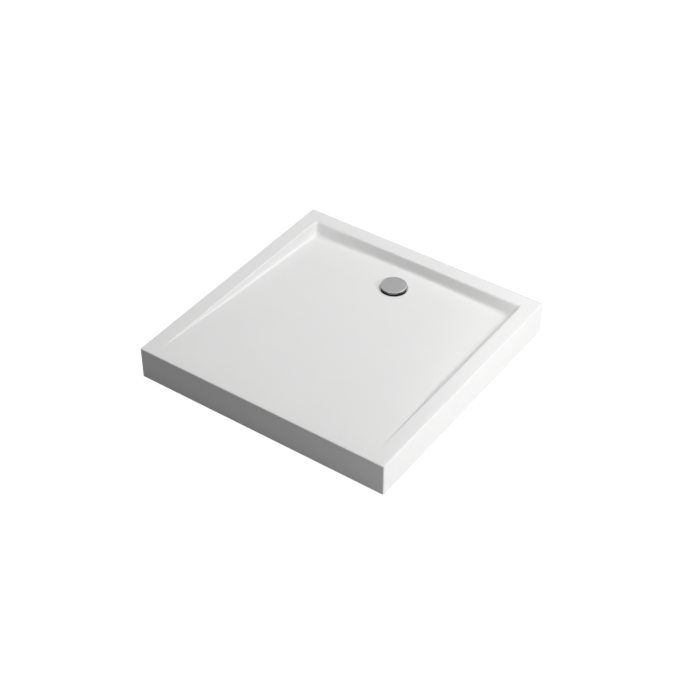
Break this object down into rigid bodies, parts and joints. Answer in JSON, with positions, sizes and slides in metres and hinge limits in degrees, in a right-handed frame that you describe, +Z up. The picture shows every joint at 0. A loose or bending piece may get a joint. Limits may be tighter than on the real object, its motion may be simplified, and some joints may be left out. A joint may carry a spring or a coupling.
{
  "type": "shower tray",
  "caption": "Low square shower tray whose floor ramps down from a level front edge to a covered waste near the back, with a trap and levelling legs inside its skirt.",
  "frame": {"origin": "middle of the footprint, on the floor", "axes": "+X to the right along the front edge, +Y to the back where the waste is, +Z up"},
  "size_m": [0.9, 0.9, 0.11],
  "materials": {
    "white_acrylic": "gloss, fine polishing haze",
    "sprayed_resin": "rough sprayed glass fibre and resin",
    "chipboard": "pressed chips, raw",
    "timber": "planed softwood",
    "zinc_steel": "zinc plated",
    "chrome_plate": "polished chrome plate",
    "black_rubber": "matt moulded rubber",
    "grey_moulding": "satin moulded plastic",
    "white_moulding": "satin moulded plastic",
    "dark_moulding": "satin moulded plastic"
  },
  "bodies": {
    "root": {"tray_shell": "white_acrylic", "grp_backing": "sprayed_resin", "baseboard": "chipboard", "bearer_left": "timber", "bearer_right": "timber", "bearer_middle": "timber", "bearer_screws": "zinc_steel", "bracket_screws": "zinc_steel", "lock_nuts": "zinc_steel", "flange_gasket": "black_rubber", "lower_seal": "black_rubber", "flange_ring": "chrome_plate", "trap_body": "grey_moulding", "outlet_seal": "black_rubber", "outlet_nut": "dark_moulding", "outlet_spigot": "grey_moulding", "leg_bracket_1": "zinc_steel", "leg_bracket_2": "zinc_steel", "leg_bracket_3": "zinc_steel", "leg_bracket_4": "zinc_steel", "leg_bracket_5": "zinc_steel"},
    "dip_tube": {"dip_tube": "white_moulding", "dip_tube_ring": "black_rubber"},
    "strainer": {"hair_strainer": "white_moulding"},
    "cover": {"waste_cap": "chrome_plate"},
    "foot_1": {"foot_pad_1": "dark_moulding", "foot_sole_1": "black_rubber"},
    "rod_1": {"leg_rod_1": "zinc_steel"},
    "foot_2": {"foot_pad_2": "dark_moulding", "foot_sole_2": "black_rubber"},
    "rod_2": {"leg_rod_2": "zinc_steel"},
    "foot_3": {"foot_pad_3": "dark_moulding", "foot_sole_3": "black_rubber"},
    "rod_3": {"leg_rod_3": "zinc_steel"},
    "foot_4": {"foot_pad_4": "dark_moulding", "foot_sole_4": "black_rubber"},
    "rod_4": {"leg_rod_4": "zinc_steel"},
    "foot_5": {"foot_pad_5": "dark_moulding", "foot_sole_5": "black_rubber"},
    "rod_5": {"leg_rod_5": "zinc_steel"}
  },
  "joints": [
    {"name": "foot_1_slide", "type": "slide", "parent": "root", "child": "foot_1", "axis": [0, 0, -1], "range_m": [0, 0.014]},
    {"name": "rod_1_turn", "type": "hinge", "parent": "foot_1", "child": "rod_1", "pos_m": [-0.25, -0.26, 0.016], "axis": [0, 0, -1], "range_deg": [0, 2880]},
    {"name": "foot_2_slide", "type": "slide", "parent": "root", "child": "foot_2", "axis": [0, 0, -1], "range_m": [0, 0.014]},
    {"name": "rod_2_turn", "type": "hinge", "parent": "foot_2", "child": "rod_2", "pos_m": [0.25, -0.26, 0.016], "axis": [0, 0, -1], "range_deg": [0, 2880]},
    {"name": "foot_3_slide", "type": "slide", "parent": "root", "child": "foot_3", "axis": [0, 0, -1], "range_m": [0, 0.014]},
    {"name": "rod_3_turn", "type": "hinge", "parent": "foot_3", "child": "rod_3", "pos_m": [0.25, 0.26, 0.016], "axis": [0, 0, -1], "range_deg": [0, 2880]},
    {"name": "foot_4_slide", "type": "slide", "parent": "root", "child": "foot_4", "axis": [0, 0, -1], "range_m": [0, 0.014]},
    {"name": "rod_4_turn", "type": "hinge", "parent": "foot_4", "child": "rod_4", "pos_m": [-0.25, 0.26, 0.016], "axis": [0, 0, -1], "range_deg": [0, 2880]},
    {"name": "foot_5_slide", "type": "slide", "parent": "root", "child": "foot_5", "axis": [0, 0, -1], "range_m": [0, 0.014]},
    {"name": "rod_5_turn", "type": "hinge", "parent": "foot_5", "child": "rod_5", "pos_m": [0, 0, 0.016], "axis": [0, 0, -1], "range_deg": [0, 2880]},
    {"name": "dip_tube_lift", "type": "slide", "parent": "root", "child": "dip_tube", "axis": [0, 0, 1], "range_m": [0, 0.15]},
    {"name": "strainer_lift", "type": "slide", "parent": "dip_tube", "child": "strainer", "axis": [0, 0, 1], "range_m": [0, 0.06]},
    {"name": "cover_lift", "type": "slide", "parent": "strainer", "child": "cover", "axis": [0, 0, 1], "range_m": [0, 0.08]}
  ],
  "couplings": [
    {"joint": "rod_1_turn", "follows": "foot_1_slide", "rad_per_m": 3590.4},
    {"joint": "rod_2_turn", "follows": "foot_2_slide", "rad_per_m": 3590.4},
    {"joint": "rod_3_turn", "follows": "foot_3_slide", "rad_per_m": 3590.4},
    {"joint": "rod_4_turn", "follows": "foot_4_slide", "rad_per_m": 3590.4},
    {"joint": "rod_5_turn", "follows": "foot_5_slide", "rad_per_m": 3590.4}
  ]
}
